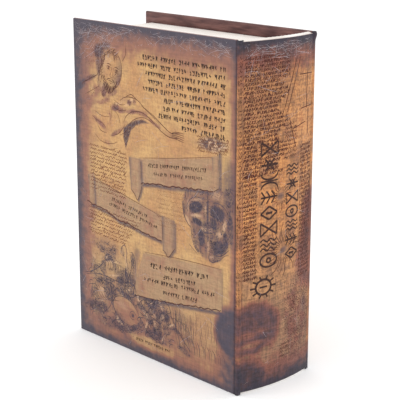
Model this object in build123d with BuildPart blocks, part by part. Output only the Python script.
"""A book-shaped presentation case, standing on its tail edge, with a five-dial cryptex lying in it.

+X points to the spine, +Y to the front cover that opens, +Z to the head of the book. The origin is
the middle of the tail end, on the surface that the case stands on.
"""

import os

from build123d import *

os.makedirs("parts", exist_ok=True)

# The case as a whole
CASE_HEIGHT = 240.0
CASE_THICKNESS = 72.0
COVER_REACH = 173.0  # from the fore edge to the corner where cover and spine meet
SPINE_BULGE = 4.0  # how far the rounded spine stands out past that corner

# Covers: greyboard in a printed leatherette wrap, whose edges turn in over the inner face
COVER_THICKNESS = 3.0
WRAP = 0.35
TURN_IN = 12.0
COVER_EDGE_RADIUS = 0.7

# Rounded spine: wrap, board and padded white liner, a little shorter than the covers
SPINE_SHORTER = 1.2
SPINE_BOARD = 1.8
SPINE_LINER = 1.2

# Hinge beads: the roll of leatherette between each cover and the spine. It stands out past the spine's end
BEAD_WIDTH = 2.8
BEAD_SKIN = 0.4
BEAD_PROUD = 1.8
BEAD_ROLL = 1.9
BEAD_RETURN = 0.9

# Tray: board walls with page paper on the head, tail and fore edge
HEAD_OVERHANG = 8.25  # the covers' reach past the page block at head and tail
FORE_OVERHANG = 8.0
LID_GAP = 0.3
WALL = 3.0
FLOOR = 2.5
PAGE_PAPER = 0.4

# Lid magnets in the tray's rim and steel plates in the front cover
MAGNET_WIDTH = 2.0
MAGNET_LENGTH = 12.0
MAGNET_DEPTH = 2.0
PLATE_WIDTH = 8.0
PLATE_LENGTH = 14.0
PLATE_THICKNESS = 0.8
MAGNET_HEIGHTS = (66.0, 174.0)

# Flocked foam bed with the cryptex's recess and two finger scoops
BED_TOP_Y = -2.0
BED_CLEARANCE = 0.3
RECESS_RADIUS = 26.6
RECESS_BOTTOM = 12.9
RECESS_TOP = 226.0
SCOOP_RADIUS = 15.0
SCOOP_DEPTH = 16.0

# Cryptex: its axis is the Z axis, and its drawer opens upwards, towards the head
CRYPTEX_BOTTOM = 13.4
FINIAL_HEIGHT = 9.0
CAP_HEIGHT = 16.0
CAP_RADIUS = 26.0
CAP_SOCKET = 8.0
TUBE_INNER = 15.0
TUBE_OUTER = 17.0
SLOT_WIDTH = 4.0
DIAL_COUNT = 5
DIAL_PITCH = 15.0
DIAL_WIDTH = 14.0
DIAL_RADIUS = 25.0  # at the ten corners
DIAL_FACES = 10
FLUTE_RADIUS = 1.1
CODE_RADIUS = 21.5
SPACER_WIDTH = 0.8
AXIAL_GAP = 0.1
RUNNING_GAP = 0.05
GATE_WIDTH = 4.6
GATE_RADIUS = 19.4
FLANGE_WIDTH = 5.4  # the part of a code ring that stops its tooth
COLLAR_HEIGHT = 12.0
COLLAR_RADIUS = 24.0
POINTER_HEIGHT = 0.7
DRAWER_INNER = 12.95
RAIL_WIDTH = 3.6
RAIL_RADIUS = 16.9
TOOTH_RADIUS = 19.0
TOOTH_LENGTH = 5.0
TOOTH_START = 1.8  # above the lower face of its code ring
KNOB_HEIGHT = 11.0
SCROLL_OUTER = 9.5
SCROLL_INNER = 3.5
SCROLL_BOTTOM = 50.0
SCROLL_LENGTH = 65.0

# Places that follow from those sizes
HALF_THICKNESS = CASE_THICKNESS / 2
FORE_X = -(COVER_REACH + SPINE_BULGE) / 2
CORNER_X = FORE_X + COVER_REACH
APEX_X = CORNER_X + SPINE_BULGE
INNER_FACE = HALF_THICKNESS - COVER_THICKNESS
BEAD_X = CORNER_X - 0.3 - BEAD_WIDTH
BEAD_Y = HALF_THICKNESS - BEAD_WIDTH
SPINE_END_X = BEAD_X + BEAD_WIDTH
PAGES_FORE_X = FORE_X + FORE_OVERHANG
TRAY_FORE_X = PAGES_FORE_X + PAGE_PAPER
TRAY_SPINE_X = 80.5
TRAY_LOW_Z = HEAD_OVERHANG + PAGE_PAPER
TRAY_HIGH_Z = CASE_HEIGHT - TRAY_LOW_Z
RIM_Y = INNER_FACE - LID_GAP
FLOOR_TOP_Y = -INNER_FACE + FLOOR
FIXED_CAP_BOTTOM = CRYPTEX_BOTTOM + FINIAL_HEIGHT
FIXED_CAP_TOP = FIXED_CAP_BOTTOM + CAP_HEIGHT
FIRST_DIAL = FIXED_CAP_TOP + SPACER_WIDTH + AXIAL_GAP
COLLAR_BOTTOM = FIXED_CAP_TOP + DIAL_COUNT * DIAL_PITCH + SPACER_WIDTH
COLLAR_TOP = COLLAR_BOTTOM + COLLAR_HEIGHT
DRAWER_CAP_BOTTOM = COLLAR_TOP + 0.2
DRAWER_CAP_TOP = DRAWER_CAP_BOTTOM + CAP_HEIGHT
DRAWER_OUTER = TUBE_INNER - RUNNING_GAP
DRAWER_BOTTOM = FIXED_CAP_TOP - CAP_SOCKET + 2.0
RAIL_BOTTOM = FIRST_DIAL + TOOTH_START - 1.0
RAIL_TOP = COLLAR_BOTTOM - 2.0


def save(piece, label):
    """Names a finished piece and writes it."""
    piece.part.label = label
    export_step(piece.part, f"parts/{label}.step")


def block(low, high, mode=Mode.ADD):
    """A box between two opposite corners."""
    x, y, z = ((a + b) / 2 for a, b in zip(low, high))
    with Locations((x, y, z)):
        Box(high[0] - low[0], high[1] - low[1], high[2] - low[2], mode=mode)


def ring(inner, outer, low, high, mode=Mode.ADD):
    """A plain ring about the cryptex's axis, between two heights. inner may be 0."""
    with BuildSketch(Plane.XY.offset(low)) as section:
        Circle(outer)
        if inner:
            Circle(inner, mode=Mode.SUBTRACT)
    extrude(section.sketch, amount=high - low, mode=mode)


def turned(profile):
    """Revolves a closed outline of (radius, height) corners about the cryptex's axis."""
    with BuildSketch(Plane.XZ) as section:
        with BuildLine():
            Polyline(*profile, close=True)
        make_face()
    revolve(section.sketch, axis=Axis.Z)


# ---------------------------------------------------------------- covers


def cover_wrap(label, outer_y, inner_y):
    """The leatherette round one cover: all of the outer face, the edges and the turn-ins."""
    low_y, high_y = sorted((outer_y, inner_y))
    inward = 1 if inner_y > outer_y else -1
    with BuildPart() as wrap:
        block((FORE_X, low_y, 0), (BEAD_X, high_y, CASE_HEIGHT))
        outer_edges = wrap.edges().filter_by(lambda e: e.center().X < BEAD_X - WRAP)
        fillet(outer_edges, COVER_EDGE_RADIUS)
        block(
            (FORE_X + WRAP, low_y + WRAP, WRAP),
            (BEAD_X - WRAP, high_y - WRAP, CASE_HEIGHT - WRAP),
            mode=Mode.SUBTRACT,
        )
        window = sorted((inner_y - inward * WRAP, inner_y))
        block(
            (FORE_X + TURN_IN, window[0], TURN_IN),
            (BEAD_X - TURN_IN, window[1], CASE_HEIGHT - TURN_IN),
            mode=Mode.SUBTRACT,
        )
    save(wrap, label)


def cover_lining(label, low_y, high_y):
    """The paper inside one cover, framed by the turn-ins."""
    with BuildPart() as lining:
        block(
            (FORE_X + TURN_IN, low_y, TURN_IN),
            (BEAD_X - TURN_IN, high_y, CASE_HEIGHT - TURN_IN),
        )
    save(lining, label)


cover_wrap("back_cover_wrap", -HALF_THICKNESS, -INNER_FACE)
cover_wrap("front_cover_wrap", HALF_THICKNESS, INNER_FACE)
cover_lining("back_pastedown", -INNER_FACE - WRAP, -INNER_FACE)
cover_lining("front_endpaper", INNER_FACE + 0.1, INNER_FACE + WRAP)

with BuildPart() as back_cover_board:
    block(
        (FORE_X + WRAP, -HALF_THICKNESS + WRAP, WRAP),
        (BEAD_X - WRAP, -INNER_FACE - WRAP, CASE_HEIGHT - WRAP),
    )
save(back_cover_board, "back_cover_board")

PLATE_X = TRAY_FORE_X + WALL / 2

with BuildPart() as cover_plates:
    for height in MAGNET_HEIGHTS:
        block(
            (PLATE_X - PLATE_WIDTH / 2, INNER_FACE + WRAP, height - PLATE_LENGTH / 2),
            (
                PLATE_X + PLATE_WIDTH / 2,
                INNER_FACE + WRAP + PLATE_THICKNESS,
                height + PLATE_LENGTH / 2,
            ),
        )
save(cover_plates, "cover_plates")

with BuildPart() as front_cover_board:
    block(
        (FORE_X + WRAP, INNER_FACE + WRAP, WRAP),
        (BEAD_X - WRAP, HALF_THICKNESS - WRAP, CASE_HEIGHT - WRAP),
    )
    add(cover_plates.part, mode=Mode.SUBTRACT)
save(front_cover_board, "front_cover_board")

# ---------------------------------------------------------------- spine and hinges


def spine_layer(outer, inner, low, high):
    """One layer of the rounded spine, between two depths under its outer face."""
    with BuildSketch(Plane.XY.offset(low)) as section:
        with BuildLine():
            ThreePointArc(
                (SPINE_END_X - outer, -BEAD_Y),
                (APEX_X - outer, 0),
                (SPINE_END_X - outer, BEAD_Y),
            )
            Line((SPINE_END_X - outer, BEAD_Y), (SPINE_END_X - inner, BEAD_Y))
            ThreePointArc(
                (SPINE_END_X - inner, BEAD_Y),
                (APEX_X - inner, 0),
                (SPINE_END_X - inner, -BEAD_Y),
            )
            Line((SPINE_END_X - inner, -BEAD_Y), (SPINE_END_X - outer, -BEAD_Y))
        make_face()
    extrude(section.sketch, amount=high - low)


def trim_between_covers():
    """Cuts a spine piece off at the covers' inner faces, clear of the cover that opens."""
    for low_y, high_y in ((RIM_Y, HALF_THICKNESS), (-HALF_THICKNESS, -INNER_FACE)):
        block(
            (TRAY_SPINE_X - 1, low_y, 0),
            (APEX_X, high_y, CASE_HEIGHT),
            mode=Mode.SUBTRACT,
        )


SPINE_LOW = SPINE_SHORTER
SPINE_HIGH = CASE_HEIGHT - SPINE_SHORTER
BOARD_DEPTH = WRAP + SPINE_BOARD
LINER_DEPTH = BOARD_DEPTH + SPINE_LINER

with BuildPart() as spine_wrap:
    spine_layer(0, WRAP, SPINE_LOW, SPINE_HIGH)
save(spine_wrap, "spine_wrap")

with BuildPart() as spine_board:
    spine_layer(WRAP, BOARD_DEPTH, SPINE_LOW + WRAP, SPINE_HIGH - WRAP)
save(spine_board, "spine_board")

# The liner turns over the board's head and tail, so its white edge meets the printed wrap
with BuildPart() as spine_liner:
    spine_layer(BOARD_DEPTH, LINER_DEPTH, SPINE_LOW, SPINE_HIGH)
    spine_layer(WRAP, BOARD_DEPTH, SPINE_LOW, SPINE_LOW + WRAP)
    spine_layer(WRAP, BOARD_DEPTH, SPINE_HIGH - WRAP, SPINE_HIGH)
    trim_between_covers()
save(spine_liner, "spine_liner")

# A D-section of white board pulp between the tray's flat wall and the rounded spine
with BuildPart() as spine_core:
    with BuildSketch(Plane.XY.offset(HEAD_OVERHANG)):
        with BuildLine():
            ThreePointArc(
                (SPINE_END_X - LINER_DEPTH, -BEAD_Y),
                (APEX_X - LINER_DEPTH, 0),
                (SPINE_END_X - LINER_DEPTH, BEAD_Y),
            )
            Polyline(
                (SPINE_END_X - LINER_DEPTH, BEAD_Y),
                (TRAY_SPINE_X, BEAD_Y),
                (TRAY_SPINE_X, -BEAD_Y),
                (SPINE_END_X - LINER_DEPTH, -BEAD_Y),
            )
        make_face()
    extrude(amount=CASE_HEIGHT - 2 * HEAD_OVERHANG)
    trim_between_covers()
save(spine_core, "spine_core")


def quarter(centre_x, centre_y, radius, side, start, end):
    """A quarter circle from one compass direction to another, mirrored to one side of the case."""
    middle_x = (start[0] + end[0]) * radius * 2**-0.5
    middle_y = (start[1] + end[1]) * radius * 2**-0.5
    ThreePointArc(
        (centre_x + start[0] * radius, side * (centre_y + start[1] * radius)),
        (centre_x + middle_x, side * (centre_y + middle_y)),
        (centre_x + end[0] * radius, side * (centre_y + end[1] * radius)),
    )


def hinge_strip(label, side):
    """A rolled bead of leatherette along one corner. side is -1 at the back, 1 at the front."""
    roll_x = SPINE_END_X + BEAD_PROUD - BEAD_ROLL
    roll_y = HALF_THICKNESS - BEAD_ROLL
    return_x = SPINE_END_X + BEAD_PROUD - BEAD_RETURN
    with BuildPart() as strip:
        with BuildSketch(Plane.XY.offset(WRAP)):
            with BuildLine():
                Line((BEAD_X, side * HALF_THICKNESS), (roll_x, side * HALF_THICKNESS))
                quarter(roll_x, roll_y, BEAD_ROLL, side, (0, 1), (1, 0))
                quarter(return_x, roll_y, BEAD_RETURN, side, (1, 0), (0, -1))
                Polyline(
                    (return_x, side * (roll_y - BEAD_RETURN)),
                    (SPINE_END_X, side * (roll_y - BEAD_RETURN)),
                    (SPINE_END_X, side * (roll_y - BEAD_RETURN + BEAD_SKIN)),
                    (return_x, side * (roll_y - BEAD_RETURN + BEAD_SKIN)),
                )
                quarter(return_x, roll_y, BEAD_RETURN - BEAD_SKIN, side, (0, -1), (1, 0))
                quarter(roll_x, roll_y, BEAD_ROLL - BEAD_SKIN, side, (1, 0), (0, 1))
                Polyline(
                    (roll_x, side * (HALF_THICKNESS - BEAD_SKIN)),
                    (BEAD_X, side * (HALF_THICKNESS - BEAD_SKIN)),
                    (BEAD_X, side * HALF_THICKNESS),
                )
            make_face()
        extrude(amount=CASE_HEIGHT - 2 * WRAP)
    save(strip, label)


hinge_strip("back_hinge_strip", -1)
hinge_strip("front_hinge_strip", 1)

# ---------------------------------------------------------------- tray


def tray_piece(label, low, high):
    """A plain board or paper of the tray."""
    with BuildPart() as piece:
        block(low, high)
    save(piece, label)


tray_piece(
    "tray_floor",
    (TRAY_FORE_X, -INNER_FACE, TRAY_LOW_Z),
    (TRAY_SPINE_X, FLOOR_TOP_Y, TRAY_HIGH_Z),
)
tray_piece(
    "tray_wall_tail",
    (TRAY_FORE_X, FLOOR_TOP_Y, TRAY_LOW_Z),
    (TRAY_SPINE_X, RIM_Y, TRAY_LOW_Z + WALL),
)
tray_piece(
    "tray_wall_head",
    (TRAY_FORE_X, FLOOR_TOP_Y, TRAY_HIGH_Z - WALL),
    (TRAY_SPINE_X, RIM_Y, TRAY_HIGH_Z),
)
tray_piece(
    "tray_wall_spine",
    (TRAY_SPINE_X - WALL, FLOOR_TOP_Y, TRAY_LOW_Z + WALL),
    (TRAY_SPINE_X, RIM_Y, TRAY_HIGH_Z - WALL),
)
tray_piece(
    "page_paper_tail",
    (PAGES_FORE_X, -INNER_FACE, HEAD_OVERHANG),
    (TRAY_SPINE_X, RIM_Y, TRAY_LOW_Z),
)
tray_piece(
    "page_paper_head",
    (PAGES_FORE_X, -INNER_FACE, TRAY_HIGH_Z),
    (TRAY_SPINE_X, RIM_Y, CASE_HEIGHT - HEAD_OVERHANG),
)
tray_piece(
    "page_paper_fore_edge",
    (PAGES_FORE_X, -INNER_FACE, TRAY_LOW_Z),
    (TRAY_FORE_X, RIM_Y, TRAY_HIGH_Z),
)

with BuildPart() as tray_magnets:
    for height in MAGNET_HEIGHTS:
        block(
            (PLATE_X - MAGNET_WIDTH / 2, RIM_Y - MAGNET_DEPTH, height - MAGNET_LENGTH / 2),
            (PLATE_X + MAGNET_WIDTH / 2, RIM_Y, height + MAGNET_LENGTH / 2),
        )
save(tray_magnets, "tray_magnets")

with BuildPart() as tray_wall_fore_edge:
    block(
        (TRAY_FORE_X, FLOOR_TOP_Y, TRAY_LOW_Z + WALL),
        (TRAY_FORE_X + WALL, RIM_Y, TRAY_HIGH_Z - WALL),
    )
    add(tray_magnets.part, mode=Mode.SUBTRACT)
save(tray_wall_fore_edge, "tray_wall_fore_edge")

with BuildPart() as foam_bed:
    block(
        (TRAY_FORE_X + WALL + BED_CLEARANCE, FLOOR_TOP_Y, TRAY_LOW_Z + WALL + BED_CLEARANCE),
        (TRAY_SPINE_X - WALL - BED_CLEARANCE, BED_TOP_Y, TRAY_HIGH_Z - WALL - BED_CLEARANCE),
    )
    ring(0, RECESS_RADIUS, RECESS_BOTTOM, RECESS_TOP, mode=Mode.SUBTRACT)
    scoop_height = FIRST_DIAL + DIAL_COUNT * DIAL_PITCH / 2
    with BuildSketch(Plane.XZ.offset(-BED_TOP_Y)):
        with Locations((-RECESS_RADIUS, scoop_height), (RECESS_RADIUS, scoop_height)):
            Circle(SCOOP_RADIUS)
    extrude(amount=SCOOP_DEPTH, mode=Mode.SUBTRACT)
save(foam_bed, "foam_bed")

# ---------------------------------------------------------------- cryptex body


def cap_profile(flat_end, step):
    """A cap's outline. flat_end is the height of its face on the dials' side; step is 1 or -1, outwards."""
    far = flat_end + step * CAP_HEIGHT
    return [
        (0, far),
        (12.0, far),
        (13.5, far - step * 1.5),
        (13.5, far - step * 3.0),
        (17.0, far - step * 4.2),
        (20.5, far - step * 6.5),
        (22.5, far - step * 8.8),
        (22.5, far - step * 9.6),
        (CAP_RADIUS - 0.8, far - step * 9.6),
        (CAP_RADIUS, far - step * 10.4),
        (CAP_RADIUS, flat_end + step * 0.8),
        (CAP_RADIUS - 0.8, flat_end),
        (0, flat_end),
    ]


with BuildPart() as fixed_cap:
    turned(cap_profile(FIXED_CAP_TOP, -1))
    ring(0, TUBE_OUTER, FIXED_CAP_TOP - CAP_SOCKET, FIXED_CAP_TOP, mode=Mode.SUBTRACT)
save(fixed_cap, "fixed_cap")

with BuildPart() as fixed_finial:
    turned(
        [
            (0, CRYPTEX_BOTTOM),
            (3.0, CRYPTEX_BOTTOM),
            (6.5, CRYPTEX_BOTTOM + 1.2),
            (8.5, CRYPTEX_BOTTOM + 3.2),
            (8.5, CRYPTEX_BOTTOM + 4.8),
            (5.5, CRYPTEX_BOTTOM + 6.6),
            (5.5, CRYPTEX_BOTTOM + 7.4),
            (9.0, CRYPTEX_BOTTOM + 8.2),
            (9.0, FIXED_CAP_BOTTOM),
            (0, FIXED_CAP_BOTTOM),
        ]
    )
save(fixed_finial, "fixed_finial")

with BuildPart() as outer_tube:
    ring(TUBE_INNER, TUBE_OUTER, FIXED_CAP_TOP - CAP_SOCKET, COLLAR_TOP)
    block(
        (-SLOT_WIDTH / 2, TUBE_INNER - 2, RAIL_BOTTOM - 1),
        (SLOT_WIDTH / 2, TUBE_OUTER + 2, COLLAR_TOP + 1),
        mode=Mode.SUBTRACT,
    )
save(outer_tube, "outer_tube")


def gate(low, high):
    """Cuts the way through which a tooth of the key rail passes."""
    block(
        (-GATE_WIDTH / 2, 0, low),
        (GATE_WIDTH / 2, GATE_RADIUS, high),
        mode=Mode.SUBTRACT,
    )


with BuildPart() as ring_spacers:
    for number in range(DIAL_COUNT + 1):
        low = FIXED_CAP_TOP + number * DIAL_PITCH
        ring(TUBE_OUTER, CODE_RADIUS, low, low + SPACER_WIDTH)
        gate(low, low + SPACER_WIDTH)
save(ring_spacers, "ring_spacers")

SET_SCREW_HEIGHT = COLLAR_BOTTOM + COLLAR_HEIGHT / 2
SET_SCREW_REACH = 5.0
SET_SCREW_RADIUS = 1.0

with BuildPart() as collar_set_screws:
    for angle in (30, 150, 270):
        outward = Vector(1, 0, 0).rotate(Axis.Z, angle)
        foot = outward * TUBE_OUTER + Vector(0, 0, SET_SCREW_HEIGHT)
        with BuildSketch(Plane(origin=foot, z_dir=outward)):
            Circle(SET_SCREW_RADIUS)
        extrude(amount=SET_SCREW_REACH)
    ring(0, TUBE_OUTER, COLLAR_BOTTOM, COLLAR_TOP, mode=Mode.SUBTRACT)
save(collar_set_screws, "collar_set_screws")

with BuildPart() as lock_collar:
    turned(
        [
            (TUBE_OUTER, COLLAR_BOTTOM),
            (COLLAR_RADIUS - 0.6, COLLAR_BOTTOM),
            (COLLAR_RADIUS, COLLAR_BOTTOM + 0.6),
            (COLLAR_RADIUS, COLLAR_BOTTOM + 8.0),
            (COLLAR_RADIUS - 2.0, COLLAR_BOTTOM + 9.0),
            (COLLAR_RADIUS - 2.0, COLLAR_TOP - 0.6),
            (COLLAR_RADIUS - 2.6, COLLAR_TOP),
            (TUBE_OUTER, COLLAR_TOP),
        ]
    )
    gate(COLLAR_BOTTOM, COLLAR_TOP)
    add(collar_set_screws.part, mode=Mode.SUBTRACT)
    for angle in (30, 150, 270):
        outward = Vector(1, 0, 0).rotate(Axis.Z, angle)
        head = outward * (TUBE_OUTER + SET_SCREW_REACH) + Vector(0, 0, SET_SCREW_HEIGHT)
        with BuildSketch(Plane(origin=head, z_dir=outward)):
            Circle(SET_SCREW_RADIUS)
        extrude(amount=SET_SCREW_REACH, mode=Mode.SUBTRACT)
save(lock_collar, "lock_collar")


def pointer(label, radius, tip, base):
    """A small raised arrow on a rim, over the key slot, from its tip at the dials back to its base."""
    half_width = 2.4
    with BuildPart() as arrow:
        with BuildSketch(Plane.XZ.offset(-radius - POINTER_HEIGHT)):
            with BuildLine():
                Polyline((0, tip), (half_width, base), (-half_width, base), close=True)
            make_face()
        extrude(amount=POINTER_HEIGHT + 0.4)
        ring(0, radius, min(tip, base) - 1, max(tip, base) + 1, mode=Mode.SUBTRACT)
    save(arrow, label)


pointer("fixed_pointer", CAP_RADIUS, FIXED_CAP_TOP - 0.8, FIXED_CAP_TOP - 5.2)
pointer("collar_pointer", COLLAR_RADIUS, COLLAR_BOTTOM + 0.7, COLLAR_BOTTOM + 5.1)

# ---------------------------------------------------------------- dials

for number in range(DIAL_COUNT):
    low = FIRST_DIAL + number * DIAL_PITCH
    high = low + DIAL_WIDTH

    # The hollow end lets the tooth turn past; the flange stops it except at its gate.
    with BuildPart() as code_ring:
        ring(TUBE_OUTER + RUNNING_GAP, CODE_RADIUS, low, high)
        ring(0, GATE_RADIUS, low, high - FLANGE_WIDTH, mode=Mode.SUBTRACT)
        gate(low, high)
    save(code_ring, f"code_ring_{number + 1}")

    with BuildPart() as dial_ring:
        with BuildSketch(Plane.XY.offset(low)):
            RegularPolygon(DIAL_RADIUS, DIAL_FACES)
            with PolarLocations(DIAL_RADIUS, DIAL_FACES):
                Circle(FLUTE_RADIUS, mode=Mode.SUBTRACT)
        extrude(amount=DIAL_WIDTH)
        chamfer(dial_ring.faces().filter_by(Axis.Z).edges(), 0.5)
        ring(0, CODE_RADIUS, low, high, mode=Mode.SUBTRACT)
    save(dial_ring, f"dial_ring_{number + 1}")

# ---------------------------------------------------------------- drawer

RAIL_SCREW_RADIUS = 0.8
rail_screw_heights = [FIRST_DIAL + DIAL_PITCH * place - 4.0 for place in (1, DIAL_COUNT - 1)]

with BuildPart() as rail_screws:
    for height in rail_screw_heights:
        foot = Vector(0, DRAWER_INNER + 0.4, height)
        with BuildSketch(Plane(origin=foot, z_dir=(0, 1, 0))):
            Circle(RAIL_SCREW_RADIUS)
        extrude(amount=RAIL_RADIUS - DRAWER_INNER - 0.4)
save(rail_screws, "rail_screws")

with BuildPart() as drawer_tube:
    ring(DRAWER_INNER, DRAWER_OUTER, DRAWER_BOTTOM, DRAWER_CAP_BOTTOM + CAP_SOCKET)
    add(rail_screws.part, mode=Mode.SUBTRACT)
save(drawer_tube, "drawer_tube")

with BuildPart() as key_rail:
    block((-RAIL_WIDTH / 2, DRAWER_INNER, RAIL_BOTTOM), (RAIL_WIDTH / 2, RAIL_RADIUS, RAIL_TOP))
    for number in range(DIAL_COUNT):
        tooth = FIRST_DIAL + number * DIAL_PITCH + TOOTH_START
        block(
            (-RAIL_WIDTH / 2, DRAWER_INNER, tooth),
            (RAIL_WIDTH / 2, TOOTH_RADIUS, tooth + TOOTH_LENGTH),
        )
    ring(0, DRAWER_OUTER, RAIL_BOTTOM - 1, RAIL_TOP + 1, mode=Mode.SUBTRACT)
    add(rail_screws.part, mode=Mode.SUBTRACT)
save(key_rail, "key_rail")

with BuildPart() as drawer_cap:
    turned(cap_profile(DRAWER_CAP_BOTTOM, 1))
    ring(
        0,
        DRAWER_OUTER,
        DRAWER_CAP_BOTTOM,
        DRAWER_CAP_BOTTOM + CAP_SOCKET,
        mode=Mode.SUBTRACT,
    )
save(drawer_cap, "drawer_cap")

with BuildPart() as drawer_knob:
    turned(
        [
            (0, DRAWER_CAP_TOP),
            (9.0, DRAWER_CAP_TOP),
            (9.0, DRAWER_CAP_TOP + 0.9),
            (5.0, DRAWER_CAP_TOP + 1.9),
            (5.0, DRAWER_CAP_TOP + 3.4),
            (9.5, DRAWER_CAP_TOP + 5.4),
            (10.5, DRAWER_CAP_TOP + 7.2),
            (10.5, DRAWER_CAP_TOP + 8.2),
            (8.6, DRAWER_CAP_TOP + 9.8),
            (4.0, DRAWER_CAP_TOP + KNOB_HEIGHT),
            (0, DRAWER_CAP_TOP + KNOB_HEIGHT),
        ]
    )
save(drawer_knob, "drawer_knob")

with BuildPart() as message_scroll:
    ring(SCROLL_INNER, SCROLL_OUTER, SCROLL_BOTTOM, SCROLL_BOTTOM + SCROLL_LENGTH)
save(message_scroll, "message_scroll")

TIE_WIDTH = 5.0
TIE_BOTTOM = SCROLL_BOTTOM + (SCROLL_LENGTH - TIE_WIDTH) / 2

with BuildPart() as scroll_tie:
    ring(SCROLL_OUTER, SCROLL_OUTER + 0.6, TIE_BOTTOM, TIE_BOTTOM + TIE_WIDTH)
save(scroll_tie, "scroll_tie")
